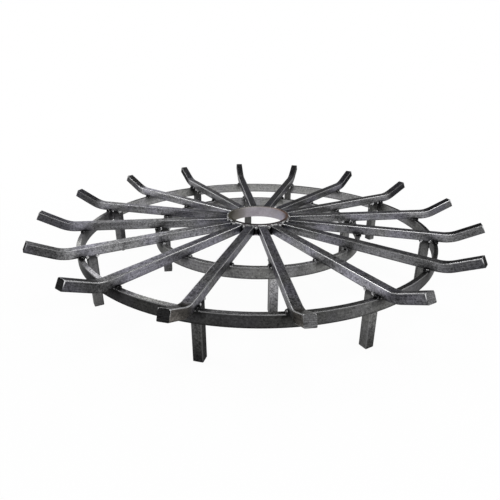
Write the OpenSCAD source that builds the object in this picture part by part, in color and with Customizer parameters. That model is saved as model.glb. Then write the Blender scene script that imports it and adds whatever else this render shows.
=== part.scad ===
// Log grate: a round "wagon wheel" of square steel bars for a fire pit or a wide hearth.
// The bars run out from a short pipe hub, over two rolled flat-bar rings, and turn up at their ends.
// Square legs stand inside the rings. All lengths are in millimetres and all angles in degrees.
// The origin is on the hub's axis at the ground, +Z is up, and the first bar runs along +X.

/* [Bars] */
// Diameter of the circle that the outermost corners of the bar tips reach
overall_d = 1016; // [980:1:1300]
// Number of radial bars, a multiple of four so that the legs fall evenly
bar_count = 16; // [12:4:20]
// Width and height of the square bar stock
bar_w = 19.05; // [12:0.05:25.4]
// Bevel that the mill leaves along the four long edges of the square bar
bar_edge = 0.9; // [0.3:0.1:2]
// How far the bar ends are turned up from level
bend_angle = 26.5; // [10:0.5:40]
// Inside radius of the bend, on the top of the bar
bend_r = 60; // [30:1:80]
// Straight length of the turned-up end beyond the bend, along the top of the bar
tip_len = 52; // [30:1:70]

/* [Hub] */
// Outside diameter of the hub
hub_d = 147; // [130:0.5:170]
// Wall thickness of the hub
hub_wall = 6; // [4:0.1:10]
// Height that the hub stands above the tops of the bars
hub_rise = 4; // [3:0.5:10]
// Depth that the hub hangs below the undersides of the bars
hub_drop = 4; // [3:0.5:10]

/* [Rings] */
// Distance from the start of the bend in to the outer ring's outer face
ring_inset = 10; // [2:0.5:40]
// Outside diameter of the inner ring
inner_ring_d = 496; // [400:1:600]
// Height of the flat bar that both rings are rolled from
ring_h = 25.4; // [20:0.1:40]
// Thickness of that flat bar
ring_t = 9.5; // [6:0.1:13]
// Bevel along the edges of the flat bar
ring_edge = 0.6; // [0.2:0.1:1.5]
// Air gap between the tops of the rings and the undersides of the bars, bridged by weld
ring_gap = 2.6; // [1:0.1:4]

/* [Legs] */
// Length of every leg, from the ground to the underside of the bars
leg_h = 114.3; // [80:0.1:180]
// Width of the square bar that the legs are cut from
leg_w = 19.05; // [12:0.05:25.4]
// Bevel along the four long edges of the leg stock
leg_edge = 0.9; // [0.3:0.1:2]
// Gap between the outer legs and the inner face of the outer ring
outer_leg_gap = 6; // [0:0.5:12]
// Gap between the inner legs and the inner face of the inner ring
inner_leg_gap = 3; // [0:0.5:12]

/* [Welds] */
// Size of the bead that joins the bars to the hub, measured out from the hub's wall
hub_bead = 6.5; // [3:0.1:8]
// Height of the hub's bead above the tops of the bars and below their undersides
hub_bead_rise = 2.6; // [1.5:0.1:2.8]
// Radius of the lumps of weld that stand on a ring, against each side of a bar
ring_lump_r = 6; // [5:0.1:8]
// Size of the beads between the tops of the legs and the undersides of the bars
leg_bead = 4.5; // [3:0.1:6]
// How far those beads stop short of the legs' sides
bead_margin = 1.2; // [0.5:0.1:3]

/* [Hidden] */
$fn = 96;
// How far a cut runs past the solid that it cuts
cut_past = 1;
// How far the bend is swept past its end before it is cut back to it, in degrees
sweep_past = 5;

bar_pitch = 360 / bar_count;
outer_leg_count = bar_count / 2;
inner_leg_count = bar_count / 4;

// Heights above the ground
bar_under_z = leg_h;
bar_top_z = bar_under_z + bar_w;
ring_top_z = bar_under_z - ring_gap;
ring_low_z = ring_top_z - ring_h;
hub_low_z = bar_under_z - hub_drop;
hub_top_z = bar_top_z + hub_rise;

// Radii from the hub's axis. A turned-up tip reaches furthest out at its lower corner.
hub_r = hub_d / 2;
bend_mid_r = bend_r + bar_w / 2;
bend_axis_z = bar_top_z + bend_r;
tip_reach = (bend_r + bar_w) * sin(bend_angle) + tip_len * cos(bend_angle);
bend_start_r = sqrt(pow(overall_d / 2, 2) - pow(bar_w / 2 - bar_edge, 2)) - tip_reach;
outer_ring_r = bend_start_r - ring_inset;
inner_ring_r = inner_ring_d / 2;

// A ring's inner face is round and a leg's outer face is flat, so a leg's corners come nearest.
function leg_centre_r(ring_r, gap) =
    sqrt(pow(ring_r - ring_t - gap, 2) - pow(leg_w / 2 - leg_edge, 2)) - leg_w / 2;
outer_leg_r = leg_centre_r(outer_ring_r, outer_leg_gap);
inner_leg_r = leg_centre_r(inner_ring_r, inner_leg_gap);

function numbered(prefix, i) = str(prefix, i < 10 ? "0" : "", i);

// Colours of the bare steel, as seen
steel_top = "#4b4b50";
steel_ring = "#56575b";
steel_hub = "#6a6664";
weld_metal = "#a9abae";

// ---- Helpers ----

// Square section with bevelled corners, centred on the origin
module bevelled_square(size_x, size_y, edge) {
    x = size_x / 2;
    y = size_y / 2;
    polygon([
        [x, y - edge], [x - edge, y], [edge - x, y], [-x, y - edge],
        [-x, edge - y], [edge - x, -y], [x - edge, -y], [x, edge - y]
    ]);
}

// Turns its children to the place of bar i, counted from 1
module at_bar(i) {
    rotate([0, 0, (i - 1) * bar_pitch])
        children();
}

// Outer legs stand under every second bar, inner legs under every fourth
function outer_leg_bar(i) = 2 * i;
function inner_leg_bar(i) = 4 * i - 3;

// ---- Bars ----

module bar_section() {
    bevelled_square(bar_w, bar_w, bar_edge);
}

// Straight stretch of bar from the origin along +X, with its centre line on the X axis
module straight_bar(length) {
    rotate([90, 0, 90])
        linear_extrude(height = length)
            bar_section();
}

// Turns its children up about the bend's axis, which is the Y axis here
module turned_up() {
    rotate([0, -bend_angle, 0])
        children();
}

// Bend and turned-up end, with the start of the bend straight below the origin. The bend is
// swept a little too far and cut back, so that it ends in the plane that the tip starts from.
module bend_and_tip() {
    difference() {
        rotate([90, 0, 0])
            rotate([0, 0, -90])
                rotate_extrude(angle = bend_angle + sweep_past)
                    translate([bend_mid_r, 0])
                        bar_section();
        turned_up()
            translate([0, -bar_w, -2 * bend_mid_r])
                cube([bend_mid_r, 2 * bar_w, 2 * bend_mid_r]);
    }
    turned_up()
        translate([0, 0, -bend_mid_r])
            straight_bar(tip_len);
}

module bar(i) {
    color(steel_top)
        at_bar(i) {
            translate([hub_r, 0, bar_under_z + bar_w / 2])
                straight_bar(bend_start_r - hub_r);
            translate([bend_start_r, 0, bend_axis_z])
                bend_and_tip();
        }
}

// ---- Hub and rings ----

module hub_ring() {
    height = hub_top_z - hub_low_z;
    color(steel_hub)
        translate([0, 0, hub_low_z])
            difference() {
                cylinder(r = hub_r, h = height);
                translate([0, 0, -cut_past])
                    cylinder(r = hub_r - hub_wall, h = height + 2 * cut_past);
            }
}

// Flat bar rolled on edge into a ring of outer radius ring_r
module rolled_ring(ring_r) {
    color(steel_ring)
        translate([0, 0, (ring_low_z + ring_top_z) / 2])
            rotate_extrude()
                translate([ring_r - ring_t / 2, 0])
                    bevelled_square(ring_t, ring_h, ring_edge);
}

module outer_ring() {
    rolled_ring(outer_ring_r);
}

module inner_ring() {
    rolled_ring(inner_ring_r);
}

// ---- Legs ----

module leg(bar_i, centre_r) {
    color(steel_ring)
        at_bar(bar_i)
            translate([centre_r, 0, 0])
                linear_extrude(height = leg_h)
                    bevelled_square(leg_w, leg_w, leg_edge);
}

module outer_leg(i) {
    leg(outer_leg_bar(i), outer_leg_r);
}

module inner_leg(i) {
    leg(inner_leg_bar(i), inner_leg_r);
}

// ---- Welds ----

// Bead all round the hub, filling the corners between neighbouring bars
module hub_welds() {
    color(weld_metal)
        difference() {
            rotate_extrude()
                polygon([
                    [hub_r, bar_under_z - hub_bead_rise],
                    [hub_r + hub_bead, bar_under_z + hub_bead_rise],
                    [hub_r + hub_bead, bar_top_z - hub_bead_rise],
                    [hub_r, bar_top_z + hub_bead_rise]
                ]);
            for (i = [1:bar_count])
                at_bar(i)
                    translate([0, -bar_w / 2, bar_under_z])
                        cube([hub_r + 2 * hub_bead, bar_w, bar_w]);
        }
}

// Two lumps of weld on top of a ring, one against each side of bar i
module ring_lumps(i, ring_r) {
    at_bar(i)
        translate([ring_r - ring_t / 2, 0, ring_top_z])
            for (side = [-1, 1])
                difference() {
                    translate([0, side * bar_w / 2, 0])
                        sphere(r = ring_lump_r);
                    translate([-2 * ring_lump_r, -2 * bar_w, -2 * ring_lump_r])
                        cube([4 * ring_lump_r, 4 * bar_w, 2 * ring_lump_r]);
                    translate([-2 * ring_lump_r, -bar_w / 2, ring_gap])
                        cube([4 * ring_lump_r, bar_w, bar_w]);
                }
}

module outer_ring_welds() {
    color(weld_metal)
        for (i = [1:bar_count])
            ring_lumps(i, outer_ring_r);
}

module inner_ring_welds() {
    color(weld_metal)
        for (i = [1:bar_count])
            ring_lumps(i, inner_ring_r);
}

// Round-ended rod of weld along Y, centred on the origin
module weld_rod(length, radius) {
    run = length - 2 * radius;
    rotate([90, 0, 0])
        cylinder(r = radius, h = run, center = true);
    for (side = [-1, 1])
        translate([0, side * run / 2, 0])
            sphere(r = radius);
}

// Beads under a bar, along the inward and the outward face of the leg that carries it
module leg_beads(bar_i, centre_r) {
    at_bar(bar_i)
        translate([centre_r, 0, bar_under_z])
            difference() {
                for (side = [-1, 1])
                    translate([side * leg_w / 2, 0, 0])
                        weld_rod(min(bar_w, leg_w) - 2 * bead_margin, leg_bead);
                translate([-leg_w / 2, -leg_w, -2 * leg_bead])
                    cube([leg_w, 2 * leg_w, 2 * leg_bead]);
                translate([-leg_w, -leg_w, 0])
                    cube([2 * leg_w, 2 * leg_w, 2 * leg_bead]);
            }
}

module outer_leg_welds() {
    color(weld_metal)
        for (i = [1:outer_leg_count])
            leg_beads(outer_leg_bar(i), outer_leg_r);
}

module inner_leg_welds() {
    color(weld_metal)
        for (i = [1:inner_leg_count])
            leg_beads(inner_leg_bar(i), inner_leg_r);
}

// ---- Assembly ----

hub_ring();
inner_ring();
outer_ring();
for (i = [1:bar_count])
    bar(i);
for (i = [1:outer_leg_count])
    outer_leg(i);
for (i = [1:inner_leg_count])
    inner_leg(i);
hub_welds();
outer_ring_welds();
inner_ring_welds();
outer_leg_welds();
inner_leg_welds();
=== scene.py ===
"""Log grate: rolled steel bars, rings and legs with their weld beads, and the studio that shows them."""

import math
import random
from collections import namedtuple

import bmesh
import bpy
from mathutils import Matrix, Vector, noise


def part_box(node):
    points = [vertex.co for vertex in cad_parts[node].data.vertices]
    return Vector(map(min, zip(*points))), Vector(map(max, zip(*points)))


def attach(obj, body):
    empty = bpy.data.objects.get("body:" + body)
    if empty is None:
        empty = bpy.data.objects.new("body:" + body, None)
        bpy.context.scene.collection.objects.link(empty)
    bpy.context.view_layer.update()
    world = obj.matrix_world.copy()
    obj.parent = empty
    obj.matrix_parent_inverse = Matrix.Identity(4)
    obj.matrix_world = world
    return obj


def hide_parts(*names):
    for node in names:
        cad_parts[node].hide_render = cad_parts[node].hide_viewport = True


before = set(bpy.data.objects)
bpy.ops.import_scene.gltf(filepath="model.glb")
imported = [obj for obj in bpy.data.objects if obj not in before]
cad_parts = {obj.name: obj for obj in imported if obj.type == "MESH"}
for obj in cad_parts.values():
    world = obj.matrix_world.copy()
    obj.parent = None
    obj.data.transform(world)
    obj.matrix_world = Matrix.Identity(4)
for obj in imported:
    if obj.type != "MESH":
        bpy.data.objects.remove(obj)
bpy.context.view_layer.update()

MM = 0.001
Round = namedtuple("Round", "inner outer low high")


def round_size(node):
    """Inner and outer radius, lowest and highest point of a CAD node that is round about the hub's axis."""
    points = [v.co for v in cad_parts[node].data.vertices]
    radii = [math.hypot(p.x, p.y) for p in points]
    heights = [p.z for p in points]
    return Round(min(radii), max(radii), min(heights), max(heights))


# ---- Sizes, from the frame and in metres ----

bar_nodes = sorted(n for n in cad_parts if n.startswith("bar_"))
outer_leg_nodes = sorted(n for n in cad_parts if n.startswith("outer_leg_0"))
inner_leg_nodes = sorted(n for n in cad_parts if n.startswith("inner_leg_0"))

hub = round_size("hub_ring")
outer_ring = round_size("outer_ring")
inner_ring = round_size("inner_ring")
bar_low, bar_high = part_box("bar_01")
leg_low, leg_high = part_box("inner_leg_01")

bar_pitch = math.tau / len(bar_nodes)
bar_w = bar_high.y - bar_low.y
bar_under = bar_low.z
bar_top = bar_under + bar_w
bar_middle = bar_under + bar_w / 2
leg_w = leg_high.y - leg_low.y

# The turned-up ends, as bent on the real bars
BEND_ANGLE = math.radians(26.5)
BEND_RADIUS = 60 * MM
TIP_LENGTH = 52 * MM
bend_mid_radius = BEND_RADIUS + bar_w / 2
bend_length = bend_mid_radius * BEND_ANGLE
tip_reach = (BEND_RADIUS + bar_w) * math.sin(BEND_ANGLE) + TIP_LENGTH * math.cos(BEND_ANGLE)
straight_length = bar_high.x - tip_reach - hub.outer
bar_length = straight_length + bend_length + TIP_LENGTH

# What the rolling mill and the saw leave
ROLLED_EDGE = 1.7 * MM
RING_EDGE = 0.8 * MM
SAWN_EDGE = 0.45 * MM
HUB_EDGE = 0.5 * MM
# The share by which the inside of a bend bulges sideways, and its outside draws in
BEND_BULGE = 0.03
BEND_STEPS = 14
RING_STEPS = 180
HUB_STEPS = 96
ROUNDING_STEPS = 3
SAWN_STEPS = 2
# Points this close are one point
TOUCHING = 0.01 * MM
# The share of the whole that tells long edges and end faces from the others
NEARLY_ALL = 0.9


# ---- Shader arithmetic ----

class Value:
    """An output socket of a finish. Arithmetic on it adds Math nodes."""

    def __init__(self, finish, socket):
        self.finish = finish
        self.socket = socket

    def math(self, operation, *others):
        return self.finish.node("Math", {"operation": operation}, dict(enumerate((self, *others))))

    def __add__(self, other):
        return self.math("ADD", other)

    def __sub__(self, other):
        return self.math("SUBTRACT", other)

    def __rsub__(self, other):
        return self.finish.node("Math", {"operation": "SUBTRACT"}, {0: other, 1: self})

    def __mul__(self, other):
        return self.math("MULTIPLY", other)

    def __truediv__(self, other):
        return self.math("DIVIDE", other)

    __radd__ = __add__
    __rmul__ = __mul__

    def fade(self, start, end):
        """0 at start and 1 at end, smooth between; start may be the larger one."""
        inputs = {"Value": self, "From Min": start, "From Max": end}
        return self.finish.node("MapRange", {"interpolation_type": "SMOOTHSTEP"}, inputs)

    def parts(self):
        """The three numbers of a vector."""
        return [self.finish.node("SeparateXYZ", {}, {0: self}, output) for output in range(3)]


class Finish:
    """A node tree for one finish, with the few kinds of node that all of them share."""

    def __init__(self, tree):
        self.tree = tree
        tree.nodes.clear()

    def node(self, kind, settings=None, inputs=None, output=0):
        made = self.tree.nodes.new("ShaderNode" + kind)
        for key, setting in (settings or {}).items():
            setattr(made, key, setting)
        for key, value in (inputs or {}).items():
            if isinstance(value, Value):
                self.tree.links.new(value.socket, made.inputs[key])
            else:
                made.inputs[key].default_value = value
        return Value(self, made.outputs[output]) if made.outputs else made

    def attribute(self, name, output="Fac"):
        return self.node("Attribute", {"attribute_name": name}, {}, output)

    def place(self):
        return self.node("TexCoord", {}, {}, "Object")

    def joined(self, x, y, z):
        return self.node("CombineXYZ", {}, {0: x, 1: y, 2: z})

    def grain(self, vector, size, detail, roughness=0.5):
        """Noise about 0, mostly from -0.5 to 0.5, with features of that size in the vector's units."""
        inputs = {"Vector": vector, "Scale": 1 / size, "Detail": detail, "Roughness": roughness}
        return self.node("TexNoise", {"noise_dimensions": "3D"}, inputs) * 2 - 1

    def mix(self, factor, first, second):
        settings = {"data_type": "RGBA", "blend_type": "MIX", "clamp_factor": True}
        return self.node("Mix", settings, {0: factor, 6: first, 7: second}, 2)


def rgb(red, green, blue):
    return (red, green, blue, 1.0)


def new_finish(name):
    material = bpy.data.materials.new(name)
    material.use_nodes = True
    return material, Finish(material.node_tree)


# Scaled steel is a little less metallic than clean steel, and brightens less at a grazing angle
METAL_SHARE = 0.9
SCALE_SHEEN = rgb(0.35, 0.35, 0.35)
# How far a height of 1 stands out in a finish's bump
RELIEF = 0.10 * MM


def steel_surface(finish, colour, roughness, height):
    """Ends a finish: one Principled shader, with a bump whose height counts in units of the relief."""
    bump = finish.node("Bump", {}, {"Strength": 1.0, "Distance": RELIEF, "Height": height})
    inputs = {
        "Base Color": colour, "Roughness": roughness, "Metallic": METAL_SHARE,
        "Specular Tint": SCALE_SHEEN, "Normal": bump,
    }
    shader = finish.node("BsdfPrincipled", {}, inputs)
    finish.node("OutputMaterial", {}, {"Surface": shader})


# ---- Rolled stock: its scale and wear, and painted light and shade ----

BLACK = rgb(0, 0, 0)
# Black for soot, and for painted shade in the pockets of the hub's welds
SOOT_AND_SHADE = rgb(0.012, 0.012, 0.013)
# Bright rubbed steel, which also stands for a painted highlight along the edges
RUBBED_STEEL_AND_HIGHLIGHT = rgb(0.74, 0.74, 0.75)
BLUE_TINT = rgb(0.10, 0.115, 0.17)
BROWNED = rgb(1.05, 0.98, 0.90)
# The two tints between which the scale drifts from cloud to cloud, and the clouds at which each is full
COOL = (rgb(1.0, 1.0, 1.02), rgb(1.0, 0.985, 1.13))
PLAIN = (rgb(1.0, 1.0, 0.97), rgb(1.0, 0.99, 1.03))
TINT_CLOUDS = (-0.25, 0.25)

SPECK = 1.8 * MM
GRAIN = 4.5 * MM
FLAKE = 14 * MM
CLOUD = 80 * MM
# Streaks of the rolls: their width in mm, and how many times as long they are
STREAK = 2.2
STREAK_STRETCH = 40

# How strongly each size of grain shows all over, and how much more on the upper face, which is also painted
# lighter as painted light
MOTTLE = {"specks": 1.4, "grains": 0.9, "flakes": 0.35, "clouds": 0.4, "streaks": 0.55}
TOP_MOTTLE = {"specks": 1.3, "grains": 0.8}
TOP_PAINTED_LIGHT = 0.3
# The share of the usual tone that the darkest specks keep, and by how much an underside is darker, as
# painted shade
DARKEST_SPECK = 0.35
UNDERSIDE_SHADE = 0.6
ROUGHNESS = 0.32
ROUGHER = {"flakes": 0.08, "specks": 0.06}
RAISED = {"specks": 0.5, "flakes": 0.3, "streaks": 0.2}

# From here on, distances on the stock are in mm, as in its "stock" attribute. A pair is where a
# change begins and where it is complete.
UPPER_FACE = (0.6, 0.1)
# Heights on the stock, where 1 is its upper face, 0 its middle and -1 its underside
UNDERSIDE = (-0.55, -1)
UPPER_HALF = (-0.5, 0.5)
BURN_WANDER = 18
# How much painted shade darkens the upper faces of the burnt tips, less on ends burnt more
BURNT_TOP_SHADE = 0.95
# Ends burnt less than this are brown, and those burnt more have the upper faces of their tips painted
# lighter, as painted light
BROWN_BURN = (0.30, 0.20)
BURNT_TOP_LIGHT_BURN = (0.66, 0.90)
BURNT_TOP_PAINTED_LIGHT = 4
# Soot and painted shade low on a bar where it crosses a ring: how far along, how high, how far it wanders
# and how dark
CROSSING_SOOT_AND_SHADE = (21, 8)
CROSSING_SOOT_AND_SHADE_HEIGHT = (0.6, -1)
CROSSING_WANDER = 6
CROSSING_SHADE = 0.75
HEAT_TINT = (34, 14)
HEAT_TINT_SHARE = 0.30
WELD_SOOT = (11, 2)
WELD_SOOT_SHARE = 0.75
# Soot and painted shade on a ring near a bar, as an angle about the hub's axis from the middle of the bar
RING_SOOT_AND_SHADE = (0.072, 0.03)
RING_SOOT_AND_SHADE_HEIGHT = (-0.7, 1)
RING_SOOT_AND_SHADE_WANDER = 0.034
RING_SOOT_SHADE = 0.8

# The sawn end and its rubbed rim with a painted highlight, back from the end of the bar
SAWN_FACE = (0.3, 0.05)
SAWN_RIM = (2.2, 1.2)
SAW_MARK = 1.5
SAW_MARK_STRETCH = 16
SAW_MARK_TONE = 1.3
SAW_SPECK_TONE = 1.2
SAW_RELIEF = 0.7
SAWN_ROUGHER = 0.35

# The rubbed edge with its painted highlight, in from the edge of the stock, and how the burning of an end
# dulls it
RUBBED_AND_HIGHLIT_EDGE = (2.2, 1.1)
RUB_WANDER = {"flakes": 0.8, "specks": 0.9}
RUBBED_SMOOTHER = 0.14
DULLED_BURN = (0.65, 0.90)
DULLED = 0.75
# Enough to bring any point of a sawn rim within the rubbed and highlighted edge
WHOLE_FACE = 9


class Stock:
    """Where a point lies on its stock, in mm, and the grains of the scale on it."""

    def __init__(self, finish, half_across, half_up):
        self.finish = finish
        self.half_up = half_up
        self.place = finish.place()
        self.along, self.across, self.up = finish.attribute("stock", "Vector").parts()
        from_side = half_across - self.across.math("ABSOLUTE")
        from_face = half_up - self.up.math("ABSOLUTE")
        self.edge = from_side.math("MAXIMUM", from_face)
        self.on_top = self.up.fade(half_up - UPPER_FACE[0], half_up - UPPER_FACE[1])
        self.specks = finish.grain(self.place, SPECK, detail=2.0, roughness=0.6)
        self.grains = finish.grain(self.place, GRAIN, detail=1.0)
        self.flakes = finish.grain(self.place, FLAKE, detail=3.0)
        self.clouds = finish.grain(self.place, CLOUD, detail=2.0)
        drawn_out = finish.joined(self.along / STREAK_STRETCH, self.across, self.up)
        self.streaks = finish.grain(drawn_out, STREAK, detail=2.0)

    def summed(self, shares):
        """The sum of the grains that the shares name, each times its share."""
        return sum(getattr(self, kind) * share for kind, share in shares.items())

    def by_height(self, start, end):
        """A fade from one height to another, where 1 is the upper face and -1 the underside."""
        return self.up.fade(self.half_up * start, self.half_up * end)

    def crossing_soot_and_shade(self, centre):
        """Soot and painted shade low on the sides of a bar and on its underside, where it crosses a ring.
        """
        away = (self.along - centre).math("ABSOLUTE")
        near = (away + self.flakes * CROSSING_WANDER).fade(*CROSSING_SOOT_AND_SHADE)
        return near * self.by_height(*CROSSING_SOOT_AND_SHADE_HEIGHT)

    def ring_soot_and_shade(self):
        """Soot and painted shade on the top and the upper sides of a ring, next to the bars."""
        x, y, z = self.place.parts()
        pitches = y.math("ARCTAN2", x) / bar_pitch
        off_the_bar = (pitches - pitches.math("ROUND")).math("ABSOLUTE") * bar_pitch
        near = (off_the_bar + self.flakes * RING_SOOT_AND_SHADE_WANDER).fade(*RING_SOOT_AND_SHADE)
        return near * self.by_height(*RING_SOOT_AND_SHADE_HEIGHT)

    def saw_marks(self):
        """Fine lines across a sawn end."""
        drawn_out = self.finish.joined(self.across / SAW_MARK_STRETCH, self.up, 0.0)
        return self.finish.grain(drawn_out, SAW_MARK, detail=1.0)


def stock_steel(name, half, tints, mottled, crossings=(), burnt_from=None, sawn_at=None, under_bars=False):
    """Mill scale over rolled stock: rubbed along the edges with a painted highlight, sooty at the welds,
    burnt where heated, with painted shade underneath and at the crossings and painted light on top.
    """
    material, finish = new_finish(name)
    stock = Stock(finish, *half)
    # The upper face is painted lighter, as painted light
    mottle = 1 + stock.summed(MOTTLE) * mottled + (stock.summed(TOP_MOTTLE) + TOP_PAINTED_LIGHT) * stock.on_top
    level = finish.attribute("tone") * mottle.math("MAXIMUM", DARKEST_SPECK)
    # Painted shade: darker toward the underside
    level = level * (1 - stock.by_height(*UNDERSIDE) * UNDERSIDE_SHADE)
    roughness = ROUGHNESS + stock.summed(ROUGHER)
    height = stock.summed(RAISED)
    tint = finish.mix(stock.clouds.fade(*TINT_CLOUDS), *tints)

    if burnt_from:
        burn = finish.attribute("burn")
        burnt = (stock.along + stock.clouds * BURN_WANDER).fade(*burnt_from)
        # Heat darkens the burnt end; its upper faces get painted shade on ends burnt less and painted light
        # on ends burnt most
        burnt_top = burnt * stock.on_top
        level = level * (1 - burnt * burn) * (1 - burnt_top * (1 - burn) * BURNT_TOP_SHADE)
        level = level * (1 + burnt_top * burn.fade(*BURNT_TOP_LIGHT_BURN) * BURNT_TOP_PAINTED_LIGHT)
        tint = finish.mix(burnt * burn.fade(*BROWN_BURN), tint, BROWNED)
    # Soot and painted shade where a bar crosses a ring, and on a ring next to the bars
    for centre in crossings:
        level = level * (1 - stock.crossing_soot_and_shade(centre) * CROSSING_SHADE)
    if under_bars:
        level = level * (1 - stock.ring_soot_and_shade() * RING_SOOT_SHADE)
    colour = finish.mix(level, BLACK, tint)
    if crossings:
        colour = finish.mix(stock.along.fade(*HEAT_TINT) * HEAT_TINT_SHARE, colour, BLUE_TINT)
    if burnt_from:
        colour = finish.mix(stock.along.fade(*WELD_SOOT) * WELD_SOOT_SHARE, colour, SOOT_AND_SHADE)

    edge = stock.edge
    if sawn_at:
        sawn = stock.along.fade(sawn_at - SAWN_FACE[0], sawn_at - SAWN_FACE[1])
        marks = stock.saw_marks()
        # The saw cut's tone, painted lighter on some bars as painted light on the end face
        cut = finish.attribute("cut") * (1 + marks * SAW_MARK_TONE + stock.specks * SAW_SPECK_TONE)
        colour = finish.mix(sawn, colour, finish.mix(cut, BLACK, tints[0]))
        roughness = roughness + sawn * SAWN_ROUGHER
        height = height * (1 - sawn) + marks * sawn * SAW_RELIEF
        rim = stock.along.fade(sawn_at - SAWN_RIM[0], sawn_at - SAWN_RIM[1]) * (1 - sawn)
        edge = edge - rim * WHOLE_FACE
    # Rubbed wear and a painted highlight along the edges, kept to the upper half as a painted highlight
    worn_and_highlit = (edge + stock.summed(RUB_WANDER)).fade(*RUBBED_AND_HIGHLIT_EDGE)
    worn_and_highlit = worn_and_highlit * stock.by_height(*UPPER_HALF) * finish.attribute("rub")
    if burnt_from:
        worn_and_highlit = worn_and_highlit * (1 - burnt * burn.fade(*DULLED_BURN) * DULLED)
    colour = finish.mix(worn_and_highlit, colour, RUBBED_STEEL_AND_HIGHLIGHT)
    steel_surface(finish, colour, roughness - worn_and_highlit * RUBBED_SMOOTHER, height)
    return material


# ---- The hub's pipe and the welds ----

# Where the hub's rim took on its copper colour, and where it is sooted
COPPER_SIDE = math.radians(-20)
SOOTED_SIDE = math.radians(268)
HUB_PATCH = 16 * MM
HUB_DARK = rgb(0.23, 0.21, 0.235)
HUB_LIGHT = rgb(0.56, 0.525, 0.57)
HUB_SPECK_TONE = 0.9
HUB_PATCH_TONE = 0.5
HUB_MIDDLE_TONE = 0.5
# How far below the top of the hub its rim's colours begin, where they are full, and their share
RIM = (3.0 * MM, 0.4 * MM)
RIM_SHARE = 0.85
RIM_OLIVE = rgb(0.20, 0.19, 0.15)

# A colour that fades in toward one side of the hub: between which two places, and its share in the end.
# A place is 1 on the rim at that side and -1 on the rim opposite.
Tint = namedtuple("Tint", "colour places share")
HUB_BLUED = Tint(rgb(0.24, 0.25, 0.36), (-0.2, 0.8), 0.4)
HUB_OLIVE = Tint(rgb(0.12, 0.115, 0.085), (-0.35, -0.90), 0.8)
RIM_COPPER = Tint(rgb(0.42, 0.27, 0.21), (-0.4, 0.5), 1.0)
RIM_PALE = Tint(rgb(0.66, 0.63, 0.62), (-0.3, -0.95), 0.6)
RIM_SOOTED = Tint(rgb(0.040, 0.028, 0.025), (0.30, 0.85), 0.95)
BLUED_PATCHES = (-0.05, 0.35)
HUB_ROUGHNESS = 0.40
HUB_ROUGHER_PATCHES = 0.1
HUB_ROUGHER_SPECKS = 0.06
HUB_RAISED = 0.5


def toward(x, y, angle):
    """How far out a point of the hub lies toward an angle: 1 on the rim there, -1 on the rim opposite."""
    return (x * math.cos(angle) + y * math.sin(angle)) / hub.outer


def tinted(finish, colour, side, tint, patches=1.0):
    """A colour with a tint over it on one side of the hub, and only in patches of it if they are given."""
    return finish.mix(side.fade(*tint.places) * patches * tint.share, colour, tint.colour)


def hub_steel():
    """Sawn pipe: lilac grey inside, its rim tinted copper and olive by the heat of welding."""
    material, finish = new_finish("hub_steel")
    place = finish.place()
    x, y, z = place.parts()
    specks = finish.grain(place, SPECK, detail=3.0, roughness=0.7)
    patches = finish.grain(place, HUB_PATCH, detail=3.0)
    copper_side = toward(x, y, COPPER_SIDE)
    sooted_side = toward(x, y, SOOTED_SIDE)

    light = specks * HUB_SPECK_TONE + patches * HUB_PATCH_TONE + HUB_MIDDLE_TONE
    colour = finish.mix(light, HUB_DARK, HUB_LIGHT)
    colour = tinted(finish, colour, copper_side, HUB_BLUED, patches.fade(*BLUED_PATCHES))
    colour = tinted(finish, colour, copper_side, HUB_OLIVE)

    rim_colour = tinted(finish, RIM_OLIVE, copper_side, RIM_COPPER)
    rim_colour = tinted(finish, rim_colour, sooted_side, RIM_PALE)
    rim_colour = tinted(finish, rim_colour, sooted_side, RIM_SOOTED)
    rim = z.fade(hub.high - RIM[0], hub.high - RIM[1])
    colour = finish.mix(rim * RIM_SHARE, colour, rim_colour)
    roughness = HUB_ROUGHNESS + patches * HUB_ROUGHER_PATCHES + specks * HUB_ROUGHER_SPECKS
    steel_surface(finish, colour, roughness, (specks + patches) * HUB_RAISED)
    return material


WELD_SPECK = 1.2 * MM
WELD_PATCH = 5 * MM
WELD_SPECK_TONE = 0.4
WELD_ROUGHNESS = 0.36
WELD_ROUGHER_SPECKS = 0.1
# How soft the edge of a patch of soot is, in the noise that makes the patches
SOOT_EDGE = (-0.2, 0.3)
# How far below the tops of the bars the hub's beads begin to be painted black, as shade in the pockets
# between the bars, and how much lower they are black
CORNER_SHADE_DEPTH = 3 * MM
CORNER_SHADE_FADE = 4 * MM


def weld_steel(name, valley, crest, soot_share, shaded_below=None):
    """Weld metal: a painted highlight on the crests of its ripples and painted shade between, with patches
    of soot.
    """
    material, finish = new_finish(name)
    place = finish.place()
    specks = finish.grain(place, WELD_SPECK, detail=2.0)
    patches = finish.grain(place, WELD_PATCH, detail=2.0)
    # Painted highlight on the crests of the ripples and painted shade in their valleys
    colour = finish.mix(finish.attribute("ripple") + specks * WELD_SPECK_TONE, valley, crest)
    colour = finish.mix((patches + (soot_share * 2 - 1)).fade(*SOOT_EDGE), colour, SOOT_AND_SHADE)
    # Painted shade: the beads turn black low down, in the pockets between the bars
    if shaded_below:
        x, y, z = place.parts()
        colour = finish.mix(z.fade(shaded_below, shaded_below - CORNER_SHADE_FADE), colour, SOOT_AND_SHADE)
    steel_surface(finish, colour, WELD_ROUGHNESS + specks * WELD_ROUGHER_SPECKS, specks)
    return material


# ---- Making pieces ----

def finished_piece(name, bm, material, slot, *nodes):
    """Turns a bmesh into a piece that rides on the grate and stands for its CAD nodes."""
    mesh = bpy.data.meshes.new(name)
    bm.to_mesh(mesh)
    bm.free()
    mesh.shade_smooth()
    mesh.materials.append(material)
    piece = bpy.data.objects.new(name, mesh)
    bpy.context.scene.collection.objects.link(piece)
    even = piece.modifiers.new("even_faces", "WEIGHTED_NORMAL")
    even.keep_sharp = True
    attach(piece, "root")
    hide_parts(*nodes)
    return piece


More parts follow.
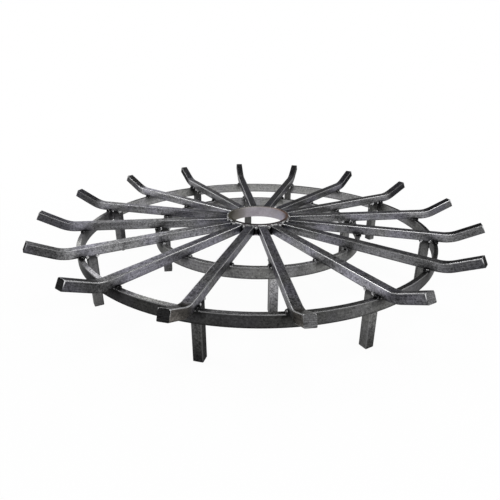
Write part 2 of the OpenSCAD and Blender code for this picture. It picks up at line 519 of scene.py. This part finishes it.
# A piece's own scale: how light it is, how dark its heated end, how light its saw cut (painted light on
# some bars), how bright its rubbed edges with their painted highlight
Scale = namedtuple("Scale", "tone burn cut rub")


def record_stock(bm, scale):
    """Keeps each point's place along, across and up the straight stock in mm, and the piece's own scale."""
    stock = bm.verts.layers.float_vector.new("stock")
    shades = {bm.verts.layers.float.new(name): value for name, value in scale._asdict().items()}
    for vertex in bm.verts:
        vertex[stock] = vertex.co / MM
        for layer, value in shades.items():
            vertex[layer] = value


def everything(bm):
    return bm.verts[:] + bm.edges[:] + bm.faces[:]


def round_off(bm, geometry, size, steps, kind):
    """Rounds edges, or the corners of a flat section, to an arc of that size."""
    bmesh.ops.bevel(
        bm, geom=geometry, offset=size, segments=steps, profile=0.5, affect=kind, material=-1
    )


def turned(angle):
    """A turn about the hub's axis."""
    return Matrix.Rotation(angle, 4, "Z")


def rolled_stock(length, width, edge, stations, scale):
    """Straight square stock along +X from the origin, with rolled edges and sawn ends."""
    bm = bmesh.new()
    block = Matrix.Translation((length / 2, 0, 0)) @ Matrix.Diagonal((length, width, width, 1))
    bmesh.ops.create_cube(bm, size=1.0, matrix=block)
    long_edges = [e for e in bm.edges if e.calc_length() > length * NEARLY_ALL]
    round_off(bm, long_edges, edge, ROUNDING_STEPS, "EDGES")
    ends = [f for f in bm.faces if abs(f.normal.x) > NEARLY_ALL]
    rims = [e for face in ends for e in face.edges]
    round_off(bm, rims, SAWN_EDGE, SAWN_STEPS, "EDGES")
    for x in stations:
        bmesh.ops.bisect_plane(bm, geom=everything(bm), plane_co=(x, 0, 0), plane_no=(1, 0, 0))
    record_stock(bm, scale)
    return bm


def bend_up(bm):
    """Turns up the end of a straight bar. The bend bulges sideways on its inside and draws in outside."""
    for vertex in bm.verts:
        x, y, z = vertex.co
        turn = min(max((x - straight_length) / bend_length, 0.0), 1.0)
        beyond = max(x - straight_length - bend_length, 0.0)
        angle = turn * BEND_ANGLE
        radius = bend_mid_radius - z
        swell = BEND_BULGE * math.sin(math.pi * turn) * 2 * z / bar_w
        vertex.co = (
            min(x, straight_length) + radius * math.sin(angle) + beyond * math.cos(angle),
            y * (1 + swell),
            bend_mid_radius - radius * math.cos(angle) + beyond * math.sin(angle),
        )


def radial_bar(node, steel, scale):
    i = int(node[-2:]) - 1
    bend_stations = [straight_length + bend_length * k / BEND_STEPS for k in range(BEND_STEPS + 1)]
    bm = rolled_stock(bar_length, bar_w, ROLLED_EDGE, bend_stations, scale)
    bend_up(bm)
    bm.transform(turned(i * bar_pitch) @ Matrix.Translation((hub.outer, 0, bar_middle)))
    return finished_piece("radial_" + node, bm, steel, "bar_steel", node)


def square_leg(node, steel, scale):
    """A leg, sawn from square stock and stood on end below its bar."""
    low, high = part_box(node)
    centre = (low + high) / 2
    bm = rolled_stock(high.z - low.z, leg_w, ROLLED_EDGE, [], scale)
    stand = Matrix.Translation((centre.x, centre.y, high.z)) @ turned(math.atan2(centre.y, centre.x))
    bm.transform(stand @ Matrix.Rotation(math.pi / 2, 4, "Y"))
    return finished_piece("sawn_" + node, bm, steel, "leg_steel", node)


# How dark a ring's face is painted, and how much lighter it is painted toward one angle, over a narrower
# stretch if sharper: painted light and shade
Turning = namedtuple("Turning", "dark light angle sharp")
# The turnings of a ring's outer half, of its inner half and of its top
RingTones = namedtuple("RingTones", "outside inside top")
# How bright the edges of the rings are rubbed, with a painted highlight
RING_RUB = 0.25


def turning_tone(turning, angle):
    share = ((1 + math.cos(angle - turning.angle)) / 2) ** turning.sharp
    return turning.dark + (turning.light - turning.dark) * share


def spun_ring(name, node, size, edge, steps, steel, slot, tones):
    """A rounded rectangle spun all round, each of its faces painted lighter and darker about the axis with
    its own tones, as painted light and shade.
    """
    bm = bmesh.new()
    middle = Vector(((size.inner + size.outer) / 2, 0, (size.low + size.high) / 2))
    thickness = size.outer - size.inner
    height = size.high - size.low
    section = Matrix.Rotation(math.pi / 2, 4, "X") @ Matrix.Diagonal((thickness, height, 1, 1))
    bmesh.ops.create_grid(bm, x_segments=1, y_segments=1, size=0.5, matrix=section)
    round_off(bm, bm.verts[:], edge, ROUNDING_STEPS, "VERTICES")
    record_stock(bm, Scale(tone=0.0, burn=0.0, cut=0.0, rub=RING_RUB))
    stock = bm.verts.layers.float_vector["stock"]
    for vertex in bm.verts:
        vertex[stock] = (0, vertex[stock].x, vertex[stock].z)
    bmesh.ops.translate(bm, verts=bm.verts, vec=middle)
    first_section = bm.faces[:]
    bmesh.ops.spin(
        bm, geom=everything(bm), cent=(0, 0, 0), axis=(0, 0, 1), dvec=(0, 0, 0),
        angle=math.tau, steps=steps, use_merge=True, use_duplicate=False,
    )
    left_inside = [f for f in first_section if f.is_valid]
    bmesh.ops.delete(bm, geom=left_inside, context="FACES_ONLY")
    bmesh.ops.remove_doubles(bm, verts=bm.verts, dist=TOUCHING)
    bmesh.ops.recalc_face_normals(bm, faces=bm.faces)
    # Painted light and shade: each face's tone turns lighter and darker with its angle about the axis
    tone = bm.verts.layers.float["tone"]
    for vertex in bm.verts:
        on_top = vertex.co.z > size.high - TOUCHING
        turning = tones.top if on_top else tones.outside if vertex[stock].y > 0 else tones.inside
        vertex[tone] = turning_tone(turning, math.atan2(vertex.co.y, vertex.co.x))
    return finished_piece(name, bm, steel, slot, node)


# ---- Weld beads ----

RIPPLE_PITCH = 1.7 * MM
RIPPLE_HEIGHT = 0.10
RIPPLE_BOW = 0.45
RIPPLE_SHARPNESS = 0.7
BEAD_UNEVENNESS = 0.12
BEAD_SIDES = 12
# How far the seeds, from 0 to 1, spread the noise of the beads apart
BEAD_NOISE_STEP = 7.3

# The turns that lay a bead along another axis
ALONG_Y = Matrix.Rotation(math.pi / 2, 4, "Z")
ALONG_Z = Matrix.Rotation(-math.pi / 2, 4, "Y")


def weld_mesh():
    bm = bmesh.new()
    bm.verts.layers.float.new("ripple")
    return bm


def weld_bead(bm, place, length, radius, rows, seed):
    """Adds a bead along the place's own X axis: a sphere drawn out to its length, with bowed ripples."""
    ripple = bm.verts.layers.float["ripple"]
    sphere = bmesh.ops.create_uvsphere(bm, u_segments=BEAD_SIDES, v_segments=rows, radius=1.0)
    new = sphere["verts"]
    for vertex in new:
        x, y, z = vertex.co
        share = math.acos(max(-1.0, min(1.0, z))) / math.pi
        run = (share - 0.5) * length
        around = math.atan2(y, x)
        to_end = min(length / 2 - abs(run), radius) / radius
        taper = math.sqrt(max(0.0, 1 - (1 - to_end) ** 2))
        wave = ((run + radius * RIPPLE_BOW * math.cos(around)) / RIPPLE_PITCH + seed) % 1.0
        crest = math.sin(math.pi * wave) ** RIPPLE_SHARPNESS
        spot = Vector((run / radius, math.cos(around), math.sin(around) + seed * BEAD_NOISE_STEP))
        swell = 1 - RIPPLE_HEIGHT * (1 - crest) + BEAD_UNEVENNESS * noise.noise(spot)
        reach = radius * taper * swell
        vertex.co = (run, reach * math.cos(around), reach * math.sin(around))
        vertex[ripple] = crest
    bmesh.ops.transform(bm, matrix=place, verts=new)


# The beads over and under a bar's end. They outrun its width, out from the hub and proud of the bar.
LIP_BEAD = 3.4 * MM
LIP_ROWS = 30
LIP_OVERRUN = 3 * MM
LIP_OUT = 1.0 * MM
LIP_PROUD = 0.4 * MM
# The upright beads in the corners between the bars
POCKET_BEAD = 5.4 * MM
POCKET_ROWS = 26
POCKET_OVERRUN = 2 * MM
POCKET_OUT = 1.6 * MM


def hub_welds(steel, chance):
    """Beads over and under the end of each bar, and upright beads that fill the corners between bars."""
    bm = weld_mesh()
    for i in range(len(bar_nodes)):
        for height in (bar_top + LIP_PROUD, bar_under - LIP_PROUD):
            lip = turned(i * bar_pitch) @ Matrix.Translation((hub.outer + LIP_OUT, 0, height))
            weld_bead(bm, lip @ ALONG_Y, bar_w + LIP_OVERRUN, LIP_BEAD, LIP_ROWS, chance.random())
        corner = Matrix.Translation((hub.outer + POCKET_OUT, 0, bar_middle))
        pocket = turned((i + 0.5) * bar_pitch) @ corner @ ALONG_Z
        weld_bead(bm, pocket, bar_w + POCKET_OVERRUN, POCKET_BEAD, POCKET_ROWS, chance.random())
    return finished_piece("hub_weld_beads", bm, steel, "weld_metal", "hub_welds")


# The lumps on the rings. Pairs are ranges, in mm but for the turn in radians and the size as a share.
LUMP = 5.2 * MM
LUMP_ROWS = 16
LUMP_PROUD = 0.8 * MM
LUMP_OFF_BAR = (0.2, 1.0)
LUMP_DRIFT = (-0.8, 0.8)
LUMP_TURN = (-0.2, 0.2)
LUMP_LENGTH = (12, 14.5)
LUMP_SIZE = (0.9, 1.1)


def ring_welds(name, node, ring, steel, chance):
    """A short bead on top of the ring against each side of every bar."""
    bm = weld_mesh()
    middle = (ring.inner + ring.outer) / 2
    for i in range(len(bar_nodes)):
        for side in (-1, 1):
            across = side * (bar_w / 2 + chance.uniform(*LUMP_OFF_BAR) * MM)
            along = middle + chance.uniform(*LUMP_DRIFT) * MM
            here = Matrix.Translation((along, across, ring.high + LUMP_PROUD))
            place = turned(i * bar_pitch) @ here @ turned(chance.uniform(*LUMP_TURN))
            length = chance.uniform(*LUMP_LENGTH) * MM
            radius = LUMP * chance.uniform(*LUMP_SIZE)
            weld_bead(bm, place, length, radius, LUMP_ROWS, chance.random())
    return finished_piece(name, bm, steel, "weld_metal", node)


# The beads along two faces of a leg, a little below its top
LEG_BEAD = 4.5 * MM
LEG_BEAD_ROWS = 22
LEG_BEAD_OVERRUN = 3 * MM
LEG_BEAD_DROP = 0.6 * MM
# Balls of thrown weld metal below a leg's bead: how many, their radii in mm, and how far they reach
SPATTER_COUNT = 5
SPATTER_SIZE = (0.6, 2.0)
SPATTER_DEPTH = 30 * MM
spatter_reach = leg_w * 0.4


def spatter(bm, place, chance):
    """Adds small balls of thrown weld metal below a point of an upright face, half sunk into it."""
    ripple = bm.verts.layers.float["ripple"]
    for _ in range(SPATTER_COUNT):
        size = chance.uniform(*SPATTER_SIZE) * MM
        sideways = chance.uniform(-spatter_reach, spatter_reach)
        down = SPATTER_DEPTH * chance.random() ** 2
        ball = place @ Matrix.Translation((0, sideways, -down))
        made = bmesh.ops.create_icosphere(bm, subdivisions=2, radius=size, matrix=ball)
        # Each ball takes the crest colour, a painted glint
        for vertex in made["verts"]:
            vertex[ripple] = 1.0


def leg_welds(name, node, leg_nodes, steel, chance):
    """Beads along the inward and the outward face of each leg's top, with spatter below them."""
    bm = weld_mesh()
    below_bead = Matrix.Translation((0, 0, -LEG_BEAD))
    for leg_node in leg_nodes:
        low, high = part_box(leg_node)
        centre = (low + high) / 2
        angle = math.atan2(centre.y, centre.x)
        radius = math.hypot(centre.x, centre.y)
        for side in (-1, 1):
            spot = (radius + side * leg_w / 2, 0, high.z - LEG_BEAD_DROP)
            here = turned(angle) @ Matrix.Translation(spot)
            length = leg_w + LEG_BEAD_OVERRUN
            weld_bead(bm, here @ ALONG_Y, length, LEG_BEAD, LEG_BEAD_ROWS, chance.random())
            spatter(bm, here @ below_bead, chance)
    return finished_piece(name, bm, steel, "weld_metal", node)


# ---- The grate ----

SEED = 7
BAR_TONE = 0.21
BAR_CHANCE = (0.95, 1.05)
USUAL_BURN = 0.60
USUAL_CUT = 0.035
USUAL_RUB = 0.8
LEG_TONE = 0.11
LEG_CHANCE = (0.9, 1.1)
LEG_BURN = 0.35
LEG_RUB = 0.05
# Bars and legs cut from lighter or darker lengths of stock, by their share of the usual tone
BAR_TONES = {
    1.50: ("bar_07",),
    1.25: ("bar_01", "bar_06", "bar_10", "bar_13", "bar_14"),
    1.10: ("bar_12",),
    0.90: ("bar_11", "bar_15"),
    0.77: ("bar_03", "bar_04", "bar_05"),
}
LEG_TONES = {
    2.0: ("inner_leg_02", "inner_leg_04"),
    1.5: ("outer_leg_02", "outer_leg_01", "inner_leg_01"),
    0.45: ("outer_leg_06",),
}
# Bars whose ends were heated less or more before they were bent, by how far the heat darkened them
BURNS = {
    0.00: ("bar_12",),
    0.15: ("bar_13",),
    0.40: ("bar_16",),
    0.74: ("bar_07", "bar_08", "bar_09", "bar_10"),
    0.88: ("bar_02", "bar_03", "bar_04", "bar_05", "bar_06"),
}
# Bars whose edges were rubbed, with a painted highlight, brightest and least
RUBS_AND_HIGHLIGHTS = {
    1.00: ("bar_06", "bar_07", "bar_11", "bar_12", "bar_14"),
    0.35: ("bar_08", "bar_09", "bar_10"),
}
# Bars whose sawn ends are painted lighter, as painted light on their end faces
PAINTED_LIGHT_CUTS = {0.20: ("bar_13", "bar_14")}

# Angles about the hub's axis toward which faces of the rings are painted lighter, as painted light
BACK, FAR, LEFT, FRONT = (math.radians(angle) for angle in (58, 90, 205, 296))
OUTER_RING_LIGHT_AND_SHADE = RingTones(
    outside=Turning(0.034, 0.15, FRONT, 40), inside=Turning(0.09, 0.34, FAR, 2),
    top=Turning(0.08, 0.50, LEFT, 4),
)
INNER_RING_LIGHT_AND_SHADE = RingTones(
    outside=Turning(0.16, 0.28, BACK, 1), inside=Turning(0.12, 0.25, BACK, 1),
    top=Turning(0.17, 0.38, FRONT, 2),
)
even_turning = Turning(0.13, 0.13, 0.0, 1)
HUB_TONES = RingTones(even_turning, even_turning, even_turning)

# How strong the mottle of each kind of stock is, against that of the bars
BAR_MOTTLED = 1.0
RING_MOTTLED = 0.7
LEG_MOTTLED = 0.55
# Where a leg, and the end of a bar, begins to be burnt and is burnt fully, in mm along it
LEG_BURNT_FROM = (45, 115)
BEND_BURN_LEAD = 6


def share_of(groups, node, otherwise):
    """The share under which the groups list a node."""
    for share, nodes in groups.items():
        if node in nodes:
            return share
    return otherwise


def bar_scale(node, chance):
    return Scale(
        tone=BAR_TONE * share_of(BAR_TONES, node, 1.0) * chance.uniform(*BAR_CHANCE),
        burn=share_of(BURNS, node, USUAL_BURN),
        cut=share_of(PAINTED_LIGHT_CUTS, node, USUAL_CUT),
        rub=share_of(RUBS_AND_HIGHLIGHTS, node, USUAL_RUB),
    )


def leg_scale(node, chance):
    tone = LEG_TONE * share_of(LEG_TONES, node, 1.0) * chance.uniform(*LEG_CHANCE)
    return Scale(tone=tone, burn=LEG_BURN, cut=tone, rub=LEG_RUB)


def bars_and_legs(chance):
    half_bar = bar_w / 2 / MM
    half_leg = leg_w / 2 / MM
    crossings = [((ring.inner + ring.outer) / 2 - hub.outer) / MM for ring in (inner_ring, outer_ring)]
    bend_start = straight_length / MM
    burnt_from = (bend_start - BEND_BURN_LEAD, bend_start + bend_length / MM)
    bar_steel = stock_steel(
        "bar_steel", (half_bar, half_bar), COOL, BAR_MOTTLED,
        crossings=crossings, burnt_from=burnt_from, sawn_at=bar_length / MM,
    )
    leg_steel = stock_steel(
        "leg_steel", (half_leg, half_leg), PLAIN, LEG_MOTTLED, burnt_from=LEG_BURNT_FROM
    )
    for node in bar_nodes:
        radial_bar(node, bar_steel, bar_scale(node, chance))
    for node in outer_leg_nodes + inner_leg_nodes:
        square_leg(node, leg_steel, leg_scale(node, chance))


def rings():
    thin = (outer_ring.outer - outer_ring.inner) / 2 / MM
    tall = (outer_ring.high - outer_ring.low) / 2 / MM
    ring_steel = stock_steel("ring_steel", (thin, tall), PLAIN, RING_MOTTLED, under_bars=True)
    for name, node, size, tones in (
        ("rolled_outer_ring", "outer_ring", outer_ring, OUTER_RING_LIGHT_AND_SHADE),
        ("rolled_inner_ring", "inner_ring", inner_ring, INNER_RING_LIGHT_AND_SHADE),
    ):
        spun_ring(name, node, size, RING_EDGE, RING_STEPS, ring_steel, "ring_steel", tones)
    spun_ring("sawn_hub_ring", "hub_ring", hub, HUB_EDGE, HUB_STEPS, hub_steel(), "hub_steel", HUB_TONES)


def welds(chance):
    corner_shade = bar_top - CORNER_SHADE_DEPTH
    # Each crest colour is a painted highlight and each valley colour painted shade
    hub_bright = weld_steel(
        "hub_weld", valley=rgb(0.07, 0.07, 0.075), crest=rgb(0.75, 0.75, 0.75), soot_share=0.42,
        shaded_below=corner_shade,
    )
    bright = weld_steel(
        "bright_weld", valley=rgb(0.06, 0.06, 0.065), crest=rgb(0.75, 0.75, 0.76), soot_share=0.40
    )
    sooted = weld_steel(
        "sooted_weld", valley=rgb(0.02, 0.02, 0.02), crest=rgb(0.50, 0.50, 0.50), soot_share=0.68
    )
    greyed = weld_steel(
        "greyed_weld", valley=rgb(0.03, 0.03, 0.03), crest=rgb(0.55, 0.55, 0.56), soot_share=0.60
    )
    hub_welds(hub_bright, chance)
    ring_welds("outer_ring_weld_beads", "outer_ring_welds", outer_ring, sooted, chance)
    ring_welds("inner_ring_weld_beads", "inner_ring_welds", inner_ring, greyed, chance)
    leg_welds("outer_leg_weld_beads", "outer_leg_welds", outer_leg_nodes, bright, chance)
    leg_welds("inner_leg_weld_beads", "inner_leg_welds", inner_leg_nodes, bright, chance)


def grate():
    chance = random.Random(SEED)
    bars_and_legs(chance)
    rings()
    welds(chance)


# ---- Camera, floor and light ----

# The photograph's camera, about the hub's axis and above the floor. Its angles are in radians.
CAMERA_TURN = math.radians(-8.0)
CAMERA_AWAY = 965.5 * MM
CAMERA_HEIGHT = 454.9 * MM
CAMERA_PITCH = 0.3742
CAMERA_YAW = 0.0094
CAMERA_ROLL = 0.0132
# Its focal length and the point straight ahead of it, in pixels of the 500 by 500 photograph
FOCAL_PX = 412.7
CENTRE_X_PX = 261.7
CENTRE_Y_PX = 238.0
FRAME_PX = 500
# The width of the sensor, in mm
SENSOR = 36.0


def photo_camera():
    level = math.cos(CAMERA_PITCH)
    ahead = Vector((math.sin(CAMERA_YAW) * level, math.cos(CAMERA_YAW) * level, -math.sin(CAMERA_PITCH)))
    right = Vector((math.cos(CAMERA_YAW), -math.sin(CAMERA_YAW), 0))
    above = right.cross(ahead)
    tilted_right = right * math.cos(CAMERA_ROLL) + above * math.sin(CAMERA_ROLL)
    tilted_up = above * math.cos(CAMERA_ROLL) - right * math.sin(CAMERA_ROLL)
    facing = Matrix((tilted_right, tilted_up, -ahead)).transposed().to_4x4()
    spot = Matrix.Translation((0, -CAMERA_AWAY, CAMERA_HEIGHT))
    lens = bpy.data.cameras.new("photo_camera")
    lens.sensor_width = SENSOR
    lens.lens = FOCAL_PX * SENSOR / FRAME_PX
    lens.shift_x = (FRAME_PX / 2 - CENTRE_X_PX) / FRAME_PX
    lens.shift_y = (CENTRE_Y_PX - FRAME_PX / 2) / FRAME_PX
    camera = bpy.data.objects.new("photo_camera", lens)
    camera.matrix_world = turned(CAMERA_TURN) @ spot @ facing
    bpy.context.scene.collection.objects.link(camera)
    bpy.context.scene.camera = camera


# Each softbox, with its azimuth and elevation in degrees, its size in metres and its power in watts.
# Azimuth 0 is behind the camera and 90 is at its right.
SOFTBOXES = (
    ("back_left_softbox", -153, 20, 1.0, 5),
    ("front_right_softbox", 50, 22, 1.0, 9),
    ("front_top_softbox", 15, 66, 1.25, 21),
    ("left_softbox", -100, 45, 1.15, 17),
    ("right_softbox", 105, 38, 1.0, 8),
)
SOFTBOX_AWAY = 2.6

WHITE = rgb(1, 1, 1)
PALE_PAPER = rgb(0.82, 0.82, 0.82)
FLOOR_RADIUS = 9.0
FLOOR_SIDES = 96
# How much of the floor's own white shows close to the grate, and where its shadow fades out
SHADED_FLOOR_WHITE = 0.95
SHADOW_REACH = (0.55, 1.3)
# The sines of two elevations: the dark ceiling begins at the first, the backdrop is white below the second
BACKDROP_TOP = (0.17, 0.06)
CEILING_TONE = 0.05
SKY_LIGHT = 0.55


def softbox(name, azimuth, elevation, size, power):
    """A square area lamp aimed at the grate."""
    lamp = bpy.data.lights.new(name, "AREA")
    lamp.shape = "SQUARE"
    lamp.size = size
    lamp.energy = power
    level = math.cos(elevation)
    away = Vector((math.sin(azimuth) * level, -math.cos(azimuth) * level, math.sin(elevation)))
    holder = bpy.data.objects.new(name, lamp)
    facing = (-away).to_track_quat("-Z", "Y").to_matrix().to_4x4()
    aim = Matrix.Translation((0, 0, bar_under))
    holder.matrix_world = turned(CAMERA_TURN) @ aim @ Matrix.Translation(away * SOFTBOX_AWAY) @ facing
    bpy.context.scene.collection.objects.link(holder)


def studio():
    for name, azimuth, elevation, size, power in SOFTBOXES:
        softbox(name, math.radians(azimuth), math.radians(elevation), size, power)


def seen_rays(finish):
    """1 where the camera looks, straight or by way of metal or glass, and 0 where light is gathered."""
    kinds = ("Is Camera Ray", "Is Glossy Ray", "Is Transmission Ray")
    straight, glossy, through = (finish.node("LightPath", {}, {}, kind) for kind in kinds)
    return straight.math("MAXIMUM", glossy).math("MAXIMUM", through)


def pale_floor():
    bm = bmesh.new()
    bmesh.ops.create_circle(bm, cap_ends=True, radius=FLOOR_RADIUS, segments=FLOOR_SIDES)
    mesh = bpy.data.meshes.new("studio_floor")
    bm.to_mesh(mesh)
    bm.free()
    material, finish = new_finish("studio_floor")
    x, y, z = finish.place().parts()
    away = (x * x + y * y).math("SQRT")
    white = finish.node("Emission", {}, {"Color": WHITE, "Strength": 1.0})
    matt = finish.node("BsdfDiffuse", {}, {"Color": PALE_PAPER})
    share = SHADED_FLOOR_WHITE + away.fade(*SHADOW_REACH) * (1 - SHADED_FLOOR_WHITE)
    shader = finish.node("MixShader", {}, {0: seen_rays(finish) * share, 1: matt, 2: white})
    finish.node("OutputMaterial", {}, {"Surface": shader})
    mesh.materials.append(material)
    floor = bpy.data.objects.new("studio_floor", mesh)
    bpy.context.scene.collection.objects.link(floor)


def studio_world():
    """White for the camera, a backdrop below a dark ceiling for the steel, and soft light all round."""
    world = bpy.data.worlds.new("studio_world")
    world.use_nodes = True
    bpy.context.scene.world = world
    finish = Finish(world.node_tree)
    camera_ray = finish.node("LightPath", {}, {}, "Is Camera Ray")
    x, y, up = finish.node("TexCoord", {}, {}, "Generated").parts()
    wall = up.fade(*BACKDROP_TOP) * (1 - CEILING_TONE) + CEILING_TONE
    shown = camera_ray.math("MAXIMUM", wall)
    light = finish.node("Background", {}, {"Color": WHITE, "Strength": SKY_LIGHT})
    backdrop = finish.node("Background", {}, {"Color": WHITE, "Strength": shown})
    shader = finish.node("MixShader", {}, {0: seen_rays(finish), 1: light, 2: backdrop})
    finish.node("OutputWorld", {}, {"Surface": shader})


photo_camera()
grate()
pale_floor()
studio()
studio_world()
bpy.context.scene.view_settings.view_transform = "Standard"
